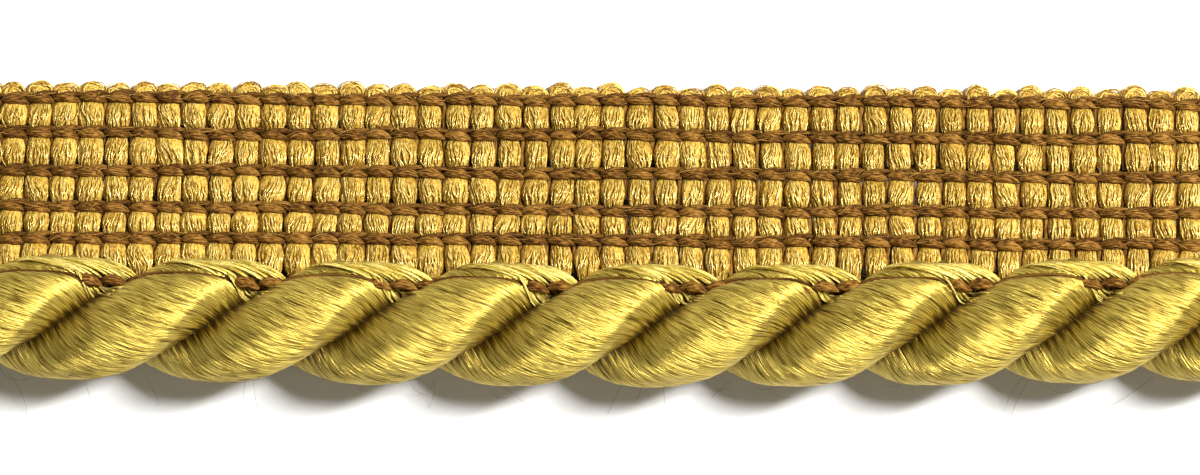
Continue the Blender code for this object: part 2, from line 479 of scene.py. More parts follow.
def fibre_ridges(rng):
    """Relief of a ply's skin and the slits between its fibre groups, which open and close."""
    shape = (PLY_RINGS, PLY_FIBRES)
    slits = smooth_noise(rng, shape, (SLIT_CELLS, PLY_FIBRES), wrap=True)
    chosen = rng.choice(SLIT_STRENGTHS, PLY_FIBRES, p=SLIT_CHANCES)
    slits = np.clip(slits, 0, 1) * chosen
    swell = smooth_noise(rng, shape, SWELL_CELLS, wrap=True)
    ropes = smooth_noise(rng, shape, ROPE_CELLS, wrap=True)
    fine = smooth_noise(rng, shape, (FINE_CELLS, PLY_FIBRES), wrap=True)
    lift = SWELL_DEPTH * swell + ROPE_DEPTH * ropes + FINE_DEPTH * fine
    return lift - SLIT_DEPTH * slits, slits


def ply_end(rng, rim, middle, first, count, sign):
    """Shrinking rings with a short tuft that close a cut end: points, tints, faces and UVs.

    The rim's points are numbered from first and the new ones from count; sign is -1 at the left end.
    """
    points, tints, faces, uvs = [], [], [], []
    outer = first + np.arange(PLY_FIBRES)
    for step in range(1, CUT_RINGS + 1):
        ring = middle + (rim - middle) * (1 - step / (CUT_RINGS + CUT_HOLE))
        ring[:, 0] += sign * rng.uniform(0, CUT_TUFT, PLY_FIBRES)
        points.append(ring)
        tints.append(rng.uniform(0.1, 0.9, PLY_FIBRES))
        inner = count + (step - 1) * PLY_FIBRES + np.arange(PLY_FIBRES)
        quads = np.stack([outer, np.roll(outer, -1), np.roll(inner, -1), inner], axis=-1)
        faces += quads[:, ::sign].tolist()
        uvs.append(np.tile(CUT_UV, (PLY_FIBRES, 1)))
        outer = inner
    faces.append(outer[::sign].tolist())
    uvs.append(np.zeros((PLY_FIBRES, 2)))
    return points, tints, faces, uvs


def build_ply(number, material):
    """One satin yarn of the cord as a skin that follows its fibres."""
    rng = default_rng(PLY_SEED + number)
    x = np.linspace(-HALF_LENGTH, HALF_LENGTH, PLY_RINGS)[:, None]
    label = (LABEL_TURN * np.arange(PLY_FIBRES) / PLY_FIBRES)[None, :]
    theta = pi * (half_turns(x) + number)
    place = fibre_place(label, theta)
    lift, slits = fibre_ridges(rng)
    y, z = ply_point(x, place, theta, lift)
    y, z = press_crease(x, y, z, theta)
    skin = np.stack([x + 0 * y, y, np.maximum(z, TABLE_GAP)], axis=-1)
    # Painted shade: the tint darkens in the slits between fibre groups and toward the groove where the
    # plies meet.
    groove = np.clip((np.abs(np.degrees(place)) - GROOVE_EDGE) / GROOVE_FADE, 0, 1)
    tint = SATIN_TINT - SLIT_PAINTED_SHADE * slits - GROOVE_PAINTED_SHADE * groove
    quads, uv = grid_faces(1, PLY_RINGS, PLY_FIBRES)
    whole = ([skin.reshape(-1, 3)], [tint.ravel()], quads.tolist(), [uv])
    middles = skin.mean(axis=1)
    body = PLY_RINGS * PLY_FIBRES
    ends = ((0, 0, body, -1), (-1, body - PLY_FIBRES, body + CUT_RINGS * PLY_FIBRES, 1))
    for ring, first, count, sign in ends:
        for rows, more in zip(whole, ply_end(rng, skin[ring], middles[ring], first, count, sign)):
            rows.extend(more)
    points, tints, faces, uvs = whole
    name = f"satin_ply_{number + 1}"
    piece = new_piece(
        name, np.concatenate(points), faces, np.concatenate(uvs), np.concatenate(tints), material
    )
    piece.data.validate()
    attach(piece, "root")
    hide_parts(f"cord_ply_{number + 1}")


# -------- the lip
BUNDLE_HALF_WIDTH = 0.00086  # a weft bundle between two chains
BUNDLE_HALF_HEIGHT = 0.00066
BUNDLE_PINCHED = 0.00058  # and under a chain
BUNDLE_PINCHED_HEIGHT = 0.00022
BUNDLE_INNER = 0.0013  # reach of a bundle's inner end from the cord's axis
BUNDLE_INNER_LEAST = 0.1  # share of its size there
BUNDLE_STATIONS = 52
BUNDLE_SIDES = 12
BUNDLE_GRAIN = 0.05
BUNDLE_SPREAD = 0.16  # the bundles spread below, and nearly close the gaps
BUNDLE_FLOAT = 0.00018  # clearance of a bundle over the lip's underside
BINDING_REACH = 0.0030  # mean reach of the binding chain
CORE_WIDTH = 1.08  # the bundles' cores, against their filaments
CORE_HEIGHT = 0.80
TIP_LONG = 0.01770  # reach of the bundles' outer ends, by turns
TIP_SHORT = 0.01740
TIP_JITTER = 0.0001
TIP_LEAST = 0.00003
CAP_HEIGHT = 0.00040  # the bundles beyond the outer chain
CAP_SHAPE = 0.38
CAP_SHORT = 0.9
COLUMN_LEAN = 0.00016
COLUMN_CELLS = (40, 6)
EDGE_KEEP = 0.00090  # keeps the last bundles inside the cut length
PILLOW_JITTER = 0.10
PILLOW_BARREL = (0.60, 1.45)  # from square to barrel-shaped pillows
PILLOW_CROWN = 0.75
LEFT_FULLNESS = 0.11  # the pillows are fuller toward the left end
RIGHT_LIMIT = -0.3
SLANT = 0.00016  # sideways sweep of the filaments within a pillow
TILT = 0.00022  # and their lean

FILAMENT_RADIUS = 0.000051
FILAMENT_START = 0.01  # shares of the bundle's length
FILAMENT_END = 0.955
FILAMENT_LENGTH = 0.015
FILAMENT_LIFT = 0.00002
CRINKLE = 0.000075  # sideways swing of a crinkled filament
CRINKLE_WAVE = 0.001
CRINKLE_BANDS = ((0.8, 1.2, 0.55), (1.3, 1.6, 0.3), (0.25, 0.5, 0.3))  # waves from, to, and share
LIFT_SWING = 0.00003
SPOT_JITTER = 0.12  # scatter of the filaments' places round a bundle, in radians
SPOT_DRIFT = 0.34  # how far they wander from them
SPOT_CELLS = 13
DRIFT_CELLS = 9
# Where the filaments lie round a bundle (radians from its top), their stations, and the loose ones,
# which bridge the gaps.
FILAMENTS_ABOVE = dict(
    places=np.concatenate([[-1.72], np.arcsin(np.linspace(-0.96, 0.96, 16)), [1.72]]),
    stations=50, loose_share=0.20, loose_drift=0.00030,
)
FILAMENTS_BELOW = dict(
    places=np.linspace(2.1, 2 * pi - 2.1, 4),
    stations=20, loose_share=0.75, loose_drift=0.00060,
)

LOOP_ROOT = 0.01672  # reach where the edge loops start
LOOP_TIPS = (0.00102, 0.00078)  # how far the loops stand out, by turns
LOOP_SPAN = 0.00093  # half width of a loop
LOOP_ARCS = 15
LOOP_STATIONS = 13
LOOP_TURN = (-0.10, 1.10)  # run of an arc, in half turns
LOOP_ROOT_STATION = -8  # a bundle's station at the loops' roots
LOOP_LEAST = 0.42  # size of the innermost arc, and the growth to the outermost
LOOP_GROWTH = 0.58
LOOP_SCATTER = (-0.4, 1.4)
LOOP_FLATNESS = (0.55, 1.15)
LOOP_JITTER = 0.00010
LOOP_SHIFT = 0.00040  # sideways scatter, larger for the small arcs
LOOP_SHIFT_SIZE = 1.25
LOOP_LEAN = 0.00030
LOOP_RUFFLE = 0.00006
LOOP_LENGTH = 0.002
LOOP_HEIGHT = 0.00036  # height of the roll that the arcs lie on
LOOP_ROUND = 0.95
LOOP_MIDDLE = 0.00046  # and of its middle over the table
LOOP_ROUGHNESS = 0.00005
LOOP_LAYERS = (-1.0, 1.0)  # below and above that middle
LOOP_LAYER_CHANCES = (0.2, 0.8)
LOOP_RADIUS = 0.000062


def per_pillow(rng, low, high, band):
    """A random value for each pillow, at each of its bundle's stations."""
    values = rng.uniform(low, high, (WEFT_COUNT, len(ROWS) + 1))
    return np.take_along_axis(values, band, axis=1)


def bundle_layout(rng):
    """Stations of each weft bundle: reach from the cord, x, half width, half height and slant."""
    columns = np.arange(WEFT_COUNT)
    longer = columns % 2 == 0
    tips = np.where(longer, TIP_LONG, TIP_SHORT) + rng.uniform(-1, 1, WEFT_COUNT) * TIP_JITTER
    tips = tips[:, None]
    share = np.linspace(0, 1, BUNDLE_STATIONS)[None, :]
    reach = BUNDLE_INNER + (tips - BUNDLE_INNER) * share
    middle = -HALF_LENGTH + (columns + 0.5) * WEFT_PITCH
    lean = smooth_noise(rng, (WEFT_COUNT, BUNDLE_STATIONS), COLUMN_CELLS) * COLUMN_LEAN
    x = np.clip(middle[:, None] + lean, -HALF_LENGTH + EDGE_KEEP, HALF_LENGTH - EDGE_KEEP)
    knots = np.array([BINDING_REACH] + sorted(ROWS))
    band = np.clip(np.searchsorted(knots, reach) - 1, 0, len(knots) - 2)
    part = np.clip((reach - knots[band]) / (knots[band + 1] - knots[band]), 0, 1)
    bulge = np.clip(np.sin(pi * part), 0, 1)
    own = 1 + per_pillow(rng, -1, 1, band) * PILLOW_JITTER
    own = own + LEFT_FULLNESS * np.clip(-x / HALF_LENGTH, RIGHT_LIMIT, 1)
    barrel = per_pillow(rng, *PILLOW_BARREL, band)
    slant = SLANT * per_pillow(rng, -1, 1, band) * np.sin(2 * pi * part)
    slant = slant + TILT * per_pillow(rng, -1, 1, band) * np.cos(pi * part)
    wide = BUNDLE_PINCHED + (BUNDLE_HALF_WIDTH * own - BUNDLE_PINCHED) * bulge**barrel
    high = BUNDLE_HALF_HEIGHT * own - BUNDLE_PINCHED_HEIGHT
    high = BUNDLE_PINCHED_HEIGHT + high * bulge**PILLOW_CROWN
    past = np.clip((reach - ROWS[0]) / (tips - ROWS[0]), 0, 1)
    cap = np.clip(1 - past**2, 0, 1) ** CAP_SHAPE
    cap_width = BUNDLE_HALF_WIDTH * np.where(longer, 1.0, CAP_SHORT)[:, None] * cap
    beyond = reach > ROWS[0]
    wide = np.where(beyond, np.maximum(cap_width, TIP_LEAST), wide)
    high = np.where(beyond, np.maximum(CAP_HEIGHT * cap, TIP_LEAST), high)
    inner = np.clip((reach - BUNDLE_INNER) / (BINDING_REACH - BUNDLE_INNER), 0, 1)
    inner = np.maximum(np.sqrt(inner * (2 - inner)), BUNDLE_INNER_LEAST)
    return reach, x, wide * inner, high * inner, slant


def build_bundles(rng, layout, material):
    """The weft bundles that run across the lip, one closed tube each."""
    reach, x, wide, high, _ = layout
    y = lip_y(x, reach)
    centres = np.stack([x, y, underside(y) + BUNDLE_FLOAT + high], axis=-1)
    side = np.zeros_like(centres) - ALONG
    _, up = frames_along(centres, UP)
    swell = rng.uniform(-1, 1, (WEFT_COUNT, BUNDLE_STATIONS, BUNDLE_SIDES)) * BUNDLE_GRAIN
    low = np.clip(-np.sin(2 * pi * np.arange(BUNDLE_SIDES) / BUNDLE_SIDES), 0, 1)
    swell = swell + BUNDLE_SPREAD * 4 * low * (1 - low)
    tint = rng.uniform(0.1, 0.9, WEFT_COUNT)
    piece = make_tubes(
        "weft_bundles", centres, side, up, wide * CORE_WIDTH, high * CORE_HEIGHT,
        BUNDLE_SIDES, tint, material, swell,
    )
    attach(piece, "root")
    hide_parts("lip")
    return piece


def crinkle(rng, count, stations, length):
    """Crinkled sideways swing along filaments."""
    along = np.linspace(0, length, stations)[None, :]
    swing = 0
    for low, high, share in CRINKLE_BANDS:
        pace = rng.uniform(low, high, (count, 1)) * 2 * pi / CRINKLE_WAVE
        start = rng.uniform(0, 2 * pi, (count, 1))
        swing = swing + share * np.sin(pace * along + start)
    return swing


def filament_centres(rng, layout, columns, form):
    """Centre lines of filaments that lie on the bundles at given places round them."""
    count, stations = len(form["places"]), form["stations"]
    share = np.linspace(FILAMENT_START, FILAMENT_END, stations) * (BUNDLE_STATIONS - 1)
    low = share.astype(int)
    part = share - low
    layout = [values[:, low] * (1 - part) + values[:, low + 1] * part for values in layout]
    lines = []
    for column in columns:
        reach, x, wide, high, slant = (values[column] for values in layout)
        swing = crinkle(rng, count, stations, FILAMENT_LENGTH) * CRINKLE
        lift = crinkle(rng, count, stations, FILAMENT_LENGTH) * LIFT_SWING
        lift = lift + rng.uniform(0, 2, (count, 1)) * FILAMENT_LIFT
        spot = form["places"][:, None] + rng.uniform(-SPOT_JITTER, SPOT_JITTER, (count, 1))
        spot = spot + smooth_noise(rng, (count, stations), (count, SPOT_CELLS)) * SPOT_DRIFT
        loose = np.where(rng.uniform(0, 1, (count, 1)) < form["loose_share"], form["loose_drift"], 0.0)
        drift = smooth_noise(rng, (count, stations), (count, DRIFT_CELLS)) * loose
        px = x + (wide + lift) * np.sin(spot) + (swing + drift + slant) * np.cos(spot)
        y = lip_y(x, reach) + 0 * px
        z = underside(y) + BUNDLE_FLOAT + high + (high + lift) * np.cos(spot)
        lines.append(np.stack([px, y, z], axis=-1))
    return np.concatenate(lines)


def build_filaments(name, rng, layout, columns, form, material):
    """Crinkled filaments over or under the weft bundles."""
    centres = filament_centres(rng, layout, columns, form)
    centres[..., 2] = np.maximum(centres[..., 2], FILAMENT_RADIUS + TABLE_GAP)
    piece = mixed_fibres(rng, name, centres, FILAMENT_RADIUS, (0.8, 1.35), material)
    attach(piece, "root")
    return piece


def loop_arc(rng, number, middle, tip, span):
    """One filament of an edge loop, by its number from the innermost."""
    turn = np.linspace(*LOOP_TURN, LOOP_STATIONS) * pi
    size = LOOP_LEAST + LOOP_GROWTH * (number + rng.uniform(*LOOP_SCATTER)) / LOOP_ARCS
    arch = np.abs(np.sin(turn)) ** rng.uniform(*LOOP_FLATNESS) * np.sign(np.sin(turn))
    x = middle + rng.uniform(-1, 1) * LOOP_SHIFT * (LOOP_SHIFT_SIZE - size) + span * size * np.cos(turn)
    x = x + rng.uniform(-1, 1) * LOOP_LEAN * arch
    ruffle = crinkle(rng, 1, LOOP_STATIONS, LOOP_LENGTH)[0] * LOOP_RUFFLE
    y = lip_y(x, LOOP_ROOT + tip * size * arch + ruffle)
    height = LOOP_HEIGHT * math.sqrt(max(0.0, 1 - (size * LOOP_ROUND) ** 2))
    layer = rng.choice(LOOP_LAYERS, p=LOOP_LAYER_CHANCES)
    z = LOOP_MIDDLE + layer * height + rng.uniform(-1, 1) * LOOP_ROUGHNESS + 0 * x
    return np.stack([x, y, z], axis=-1)


def build_edge_loops(rng, layout, material):
    """The weft's turns round the outer chain: nested arcs of filaments at each bundle's end."""
    lines = []
    for column, x in enumerate(layout[1][:, LOOP_ROOT_STATION]):
        middle = x + rng.uniform(-1, 1) * LOOP_JITTER
        tip = LOOP_TIPS[column % 2] + rng.uniform(-1, 1) * LOOP_JITTER
        span = LOOP_SPAN * rng.uniform(0.94, 1.08)
        lines += [loop_arc(rng, number, middle, tip, span) for number in range(LOOP_ARCS)]
    piece = mixed_fibres(rng, "edge_loops", np.array(lines), LOOP_RADIUS, (0.7, 1.3), material)
    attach(piece, "root")
    return piece


# -------- the chains
CHAIN_FLOAT = 0.00115  # a chain's middle over the lip's underside
ROW_WAVER = 0.00012
WAVER_STATIONS = 600
WAVER_CELLS = 22
YARN_PLIES = 3  # plies of the brown yarn, and how they twist in a stitch
YARN_TWIST = 0.8
YARN_RIDGE = 0.24
YARN_GRAIN = 0.06
YARN_CELLS = 300
STITCH_KEEP = 0.06  # keeps a chain's ends inside the cut length, in stitches
STITCH_JITTER = 0.04
STITCH_STEP = 1e-3  # keeps a clipped stitch's stations apart
STITCH_SHIFT = 0.00003
BINDING_FATNESS = 1.3
BINDING_KINDS = ("leaf", "limb")
THREAD_STATIONS = 420
THREAD_KEEP = 0.0008
THREAD_DEPTH = 0.00040  # of the binding thread under a ply's skin, in the crease
THREAD_DIVE = 0.0003
THREAD_SINK = 0.00009  # how far the thread rises and sinks in the crease
THREAD_WAVER = 0.012
THREAD_SWELL = 1.6  # how much it thickens toward the grooves
THREAD_GRAIN = 0.25
THREAD_CELLS = dict(waver=(1, 90), sink=(1, 60), grain=(1, 120))
THREAD_HALF_WIDTH = 0.00012
THREAD_HALF_HEIGHT = 0.00009
THREAD_SIDES = 8
THREAD_TINT = 0.35
SKIN_SPAN = 0.8 * pi
SKIN_STEPS = 481
FUZZ_COUNT = 110  # loose fibres on each chain
FUZZ_STATIONS = 7
FUZZ_RUN = (0.35, 0.8)  # in stitches
FUZZ_SPREAD = 0.00042  # sideways reach from a chain's middle
FUZZ_SHIFT = 0.00004
FUZZ_BOW = 0.00018
FUZZ_ROOF_WIDTH = 0.00052  # the fibres follow a chain's round back
FUZZ_HEIGHT = 0.00036
FUZZ_LIFT = 0.00014
FUZZ_RADIUS = 0.000026
# A stitch's strands. t is a strand's start and end in stitches; n (sideways) and h (height) are given
# at its start, middle and end; wide and high are halves. A lengthwise strand is broad along the chain.
STRANDS = dict(
    leaf=dict(
        t=(-0.05, 1.10), n=(-0.00003, -0.00010, -0.00024), h=(-0.00014, 0.00014, -0.00026),
        wide=0.00038, high=0.00028, stations=12, sides=12, taper=(0.05, 0.90, 0.80),
        tint=(0.36, 0.62), lengthwise=False,
    ),
    limb=dict(
        t=(0.07, 1.16), n=(0.00018, 0.00029, 0.00038), h=(-0.00014, 0.00007, -0.00006),
        wide=0.00022, high=0.00018, stations=10, sides=8, taper=(0.05, 0.90, 0.5),
        tint=(0.30, 0.58), lengthwise=False,
    ),
    sinker=dict(
        t=(-0.02, 0.02), n=(-0.00235, -0.00095, 0.00035), h=(-0.00050, -0.00044, -0.00044),
        wide=0.00018, high=0.00012, stations=8, sides=6, taper=(0.05, 0.90, 0.3),
        tint=(0.40, 0.80), lengthwise=True,
    ),
)


def gap_places(layout, reach):
    """Where each gap between neighbouring bundles crosses a line along the lip."""
    station = (reach - BUNDLE_INNER) / (layout[0][:, -1:] - BUNDLE_INNER) * (BUNDLE_STATIONS - 1)
    station = np.rint(station).astype(int)
    middles = np.take_along_axis(layout[1], station, axis=1)[:, 0]
    gaps = (middles[1:] + middles[:-1]) / 2
    return np.concatenate([[-HALF_LENGTH], gaps, [HALF_LENGTH]])


def row_path(rng, layout, reach):
    """Path of a chain along the lip: place, side and up for each value of t, in stitches."""
    waver = smooth_noise(rng, (1, WAVER_STATIONS), (1, WAVER_CELLS))[0] * ROW_WAVER
    gaps = gap_places(layout, reach)
    lean = math.atan(LIP_SLOPE)

    def path(t):
        last = WAVER_STATIONS - 1
        step = np.clip(t / WEFT_COUNT * last, 0, last)
        x = np.interp(t, np.arange(WEFT_COUNT + 1), gaps)
        y = lip_y(x, reach) + np.interp(step, np.arange(WAVER_STATIONS), waver)
        place = np.stack([x, y, underside(y) + CHAIN_FLOAT], axis=-1)
        side = np.zeros_like(place) + (0.0, math.cos(lean), -math.sin(lean))
        up = np.zeros_like(place) + (0.0, math.sin(lean), math.cos(lean))
        return place, side, up

    return path


def binding_path(t):
    """Path of the binding chain, which dips between the plies."""
    x = -HALF_LENGTH + t * WEFT_PITCH
    sine = math.sin(CREASE_ANGLE)
    cosine = math.cos(CREASE_ANGLE)
    z = AXIS_Z + BINDING_RADIUS * cosine + 0 * x
    place = np.stack([x, cord_y(x) + BINDING_RADIUS * sine, z], axis=-1)
    side = np.zeros_like(place) + (0.0, cosine, -sine)
    return place, side, np.zeros_like(place) + CREASE_UP


def bend(values, share):
    """Smooth run from a start through a middle to an end value."""
    start, middle, end = values
    hump = np.sin(pi * share)
    return start + (end - start) * share + (middle - (start + end) / 2) * hump


def skin_radius(away):
    """Distance of a ply's skin from the cord's axis, away from the ply's middle by an angle."""
    outward, across = ply_section(np.linspace(-SKIN_SPAN, SKIN_SPAN, SKIN_STEPS))
    return np.interp(away, np.arctan2(across, outward), np.hypot(across, outward))


def nearest_ply(angle, x):
    """Angle round the cord from the middle of the nearest ply."""
    return np.mod(angle - pi * half_turns(x) + pi / 2, pi) - pi / 2


def build_crease_thread(material):
    """The thread of the binding chain where it lies in the crease over each ply."""
    x = np.linspace(-HALF_LENGTH + THREAD_KEEP, HALF_LENGTH - THREAD_KEEP, THREAD_STATIONS)
    shape = (1, THREAD_STATIONS)
    away = nearest_ply(CREASE_ANGLE, x)
    radius = np.maximum(skin_radius(away) - THREAD_DEPTH, BINDING_RADIUS - THREAD_DIVE)
    rng = default_rng(THREAD_SEED)
    angle = CREASE_ANGLE + smooth_noise(rng, shape, THREAD_CELLS["waver"])[0] * THREAD_WAVER
    radius = radius + smooth_noise(rng, shape, THREAD_CELLS["sink"])[0] * THREAD_SINK
    centres = round_cord(x, radius, angle)[None]
    side, up = frames_along(centres, CREASE_UP)
    size = 1 + THREAD_GRAIN * smooth_noise(rng, shape, THREAD_CELLS["grain"])
    size = size + THREAD_SWELL * np.clip(away, 0, 1) ** 2
    return make_tubes(
        "crease_thread", centres, side, up, THREAD_HALF_WIDTH * size, THREAD_HALF_HEIGHT * size,
        THREAD_SIDES, np.array([THREAD_TINT]), material,
    )


def yarn_relief(rng, share, sides):
    """Relief of a strand's skin: its grain and the ridges of the yarn's plies."""
    stations = share.shape[1]
    grain = rng.uniform(-1, 1, (WEFT_COUNT, 1, sides))
    rough = smooth_noise(rng, (WEFT_COUNT * stations, sides), (YARN_CELLS, sides), wrap=True)
    relief = YARN_GRAIN * grain + YARN_GRAIN * rough.reshape(WEFT_COUNT, stations, sides)
    lay = (2 * pi * np.arange(sides) / sides)[None, None, :]
    lay = lay - 2 * pi * YARN_TWIST * share[..., None] + rng.uniform(0, 6, (WEFT_COUNT, 1, 1))
    return relief + YARN_RIDGE * np.abs(np.cos(YARN_PLIES / 2 * lay)) - YARN_RIDGE / 2


def build_strands(rng, name, path, form, fatness, material):
    """One strand of every stitch of a chain."""
    each = (WEFT_COUNT, 1)
    share = np.linspace(0, 1, form["stations"])[None, :]
    first = form["t"][0] + rng.uniform(-1, 1, each) * STITCH_JITTER
    t = np.arange(WEFT_COUNT)[:, None] + first + (form["t"][1] - form["t"][0]) * share
    t = np.clip(t, STITCH_KEEP, WEFT_COUNT - STITCH_KEEP)
    t = t + np.linspace(0, STITCH_STEP, form["stations"])[None, :]
    place, side, up = path(t)
    n = bend(form["n"], share) * rng.uniform(0.8, 1.2, each) * fatness
    n = n + rng.uniform(-1, 1, each) * STITCH_SHIFT
    h = bend(form["h"], share) * rng.uniform(0.85, 1.15, each)
    centres = place + n[..., None] * side + h[..., None] * up
    fullness = taper(share, *form["taper"])
    wide = form["wide"] * fatness * fullness * rng.uniform(0.9, 1.12, each)
    high = form["high"] * fatness * fullness * rng.uniform(0.9, 1.12, each)
    relief = yarn_relief(rng, share, form["sides"])
    tint = rng.uniform(*form["tint"], WEFT_COUNT)
    if form["lengthwise"]:
        side = np.zeros_like(side) + ALONG
    return make_tubes(name, centres, side, up, wide, high, form["sides"], tint, material, relief)


def build_chain(name, node, path, seed, material, fatness=1.0, kinds=tuple(STRANDS), parts=()):
    """A chain of stitches, each a thick leaf, a thinner limb above it and a sinker through the gap."""
    rng = default_rng(seed)
    parts = list(parts)
    for kind in kinds:
        parts.append(build_strands(rng, f"{name}_{kind}", path, STRANDS[kind], fatness, material))
    piece = join(parts, name)
    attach(piece, "root")
    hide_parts(node)
    return piece


def build_chain_fuzz(paths, material):
    """Short fibres that stand loose from the chains' yarn."""
    rng = default_rng(FUZZ_SEED)
    each = (FUZZ_COUNT, 1)
    share = np.linspace(0, 1, FUZZ_STATIONS)[None, :]
    hump = np.sin(pi * share)
    lines = []
    for path in paths:
        start = rng.uniform(STITCH_KEEP, WEFT_COUNT - 1 - STITCH_KEEP, each)
        place, side, up = path(start + rng.uniform(*FUZZ_RUN, each) * share)
        ends = rng.uniform(-FUZZ_SPREAD, FUZZ_SPREAD, (2, *each)) - FUZZ_SHIFT
        n = ends[0] + (ends[1] - ends[0]) * share
        n = n + hump * rng.uniform(-1, 1, each) * FUZZ_BOW
        roof = np.sqrt(np.clip(1 - ((n + FUZZ_SHIFT) / FUZZ_ROOF_WIDTH) ** 2, 0, 1))
        h = FUZZ_HEIGHT * roof + hump * rng.uniform(0, 1, each) * FUZZ_LIFT
        lines.append(place + n[..., None] * side + h[..., None] * up)
    centres = np.concatenate(lines)
    piece = mixed_fibres(rng, "chain_fuzz", centres, FUZZ_RADIUS, (0.7, 1.3), material)
    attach(piece, "root")
    return piece


# -------- fibres beside the binding chain
PLY_PASSES = 14  # turns of the plies to try, a few more than the length holds
WING_STRANDS = 34
WING_STATIONS = 13
WING_SIDES = 6
WING_START = (radians(22), radians(122))  # turn of the ply where its strands start
WING_RUN = radians(78)
WING_END = radians(177)
WING_KEEP = 0.0002  # keeps the strands inside the cut length
WING_ANGLE = (radians(63), radians(53))  # place round the cord at a strand's ends
WING_ANGLE_JITTER = 0.02
WING_SAG = (radians(105), radians(178))
WING_RADIUS = 1.015  # of the cord's radius, at a strand's start
WING_ARCH = 0.045
WING_DIVE = 0.16  # how far a strand dives toward the binding chain
WING_LOWERING = 0.06  # and follows the ply down
WING_TUCK = 0.00035  # how far its ends are tucked in
WING_ROUGHNESS = 0.00004
WING_TAPER = (0.06, 0.88, 0.5)
WING_HALF_WIDTH = 0.00017
WING_HALF_HEIGHT = 0.00011
WING_GRAIN = 0.12

STUB_COUNT = 9  # strands at each groove
STUB_STATIONS = 9
STUB_SIDES = 5
STUB_START = (-0.0026, -0.0008)
STUB_RUN = 0.0017
STUB_WAVE = (0.0001, 5)
STUB_KEEP = 0.0004
STUB_TURN = radians(25)
STUB_TOP = 0.1  # start of the turn, above the crease
STUB_TURNS = (0.7, 1.1)
STUB_LEAST = 0.60 * CORD_RADIUS
STUB_LIFT = 0.00012
STUB_SINK = 0.00004
STUB_RADIUS = 0.00007
STUB_TAPER = (0.1, 0.8, 0.4)


def ply_passes():
    """Numbers of the plies' crests along the cord, as half turns from FRONT_X."""
    first = math.floor(half_turns(-HALF_LENGTH)) - 1
    return range(first, first + PLY_PASSES)


def wing_strand(rng, ply, start, share):
    """Centre line and thickness of a strand that starts at a turn of its ply, if it fits."""
    end = min(start + WING_RUN * rng.uniform(0.9, 1.1), WING_END)
    theta = start + (end - start) * share
    x = FRONT_X + turns_to_run(ply + theta / pi)
    if not inside(x, WING_KEEP):
        return None
    hump = np.sin(pi * share)
    sag = smooth_step(np.clip((theta - WING_SAG[0]) / (WING_SAG[1] - WING_SAG[0]), 0, 1))
    radius = WING_RADIUS + WING_ARCH * hump - WING_DIVE * share**2 - WING_LOWERING * sag
    radius = CORD_RADIUS * radius - WING_TUCK * (1 - hump) ** 3
    radius = radius + rng.uniform(-1, 1) * WING_ROUGHNESS
    angle = WING_ANGLE[0] + (WING_ANGLE[1] - WING_ANGLE[0]) * share
    angle = angle + rng.uniform(-1, 1) * WING_ANGLE_JITTER
    return round_cord(x, radius, angle), taper(share, *WING_TAPER) * rng.uniform(0.8, 1.2)


def build_wings(material):
    """Strands of each ply that spread over the lip beyond the binding chain and end beside it."""
    rng = default_rng(WING_SEED)
    share = np.linspace(0, 1, WING_STATIONS)
    strands = []
    for ply in ply_passes():
        for number in range(WING_STRANDS):
            start = (WING_START[1] - WING_START[0]) * (number + rng.uniform(0, 1)) / WING_STRANDS
            strands.append(wing_strand(rng, ply, WING_START[0] + start, share))
    lines, sizes = zip(*(strand for strand in strands if strand))
    centres = np.array(lines)
    outward = centres * (0.0, 1.0, 1.0)
    outward[..., 1] -= cord_y(centres[..., 0])
    outward[..., 2] -= AXIS_Z
    outward /= np.linalg.norm(outward, axis=-1, keepdims=True)
    side, up = frames_along(centres, outward)
    grain = WING_GRAIN * rng.uniform(-1, 1, (len(lines), 1, WING_SIDES))
    tint = rng.uniform(0.2, 1.0, len(lines))
    wide = WING_HALF_WIDTH * np.array(sizes)
    high = WING_HALF_HEIGHT * np.array(sizes)
    piece = make_tubes("satin_wings", centres, side, up, wide, high, WING_SIDES, tint, material, grain)
    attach(piece, "root")


def build_weft_ends(material):
    """Ends of the weft that show below the binding chain where it crosses a groove."""
    rng = default_rng(STUB_SEED)
    share = np.linspace(0, 1, STUB_STATIONS)
    wave = STUB_WAVE[0] * np.sin(STUB_WAVE[1] * share)
    lines = []
    for ply in ply_passes():
        groove = FRONT_X + turns_to_run(ply + 0.5 + CREASE_ANGLE / pi)
        for _ in range(STUB_COUNT):
            start = groove + rng.uniform(*STUB_START)
            x = start + STUB_RUN * rng.uniform(0.6, 1.3) * share + wave
            if not inside(x, STUB_KEEP):
                continue
            turn = STUB_TOP - rng.uniform(*STUB_TURNS) * share
            angle = CREASE_ANGLE + STUB_TURN * turn
            radius = np.maximum(skin_radius(nearest_ply(angle, x)), STUB_LEAST)
            lift = STUB_LIFT * np.sin(pi * share) * rng.uniform(0.6, 1.6)
            lines.append(round_cord(x, radius + lift - STUB_SINK, angle))
    centres = np.array(lines)
    side, up = frames_along(centres, CREASE_UP)
    size = rng.uniform(0.6, 1.3, (len(lines), 1)) * taper(share, *STUB_TAPER)
    thick = STUB_RADIUS * size
    tint = rng.uniform(0.3, 1.0, len(lines))
    piece = make_tubes("weft_ends", centres, side, up, thick, thick, STUB_SIDES, tint, material)
    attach(piece, "root")
    return piece


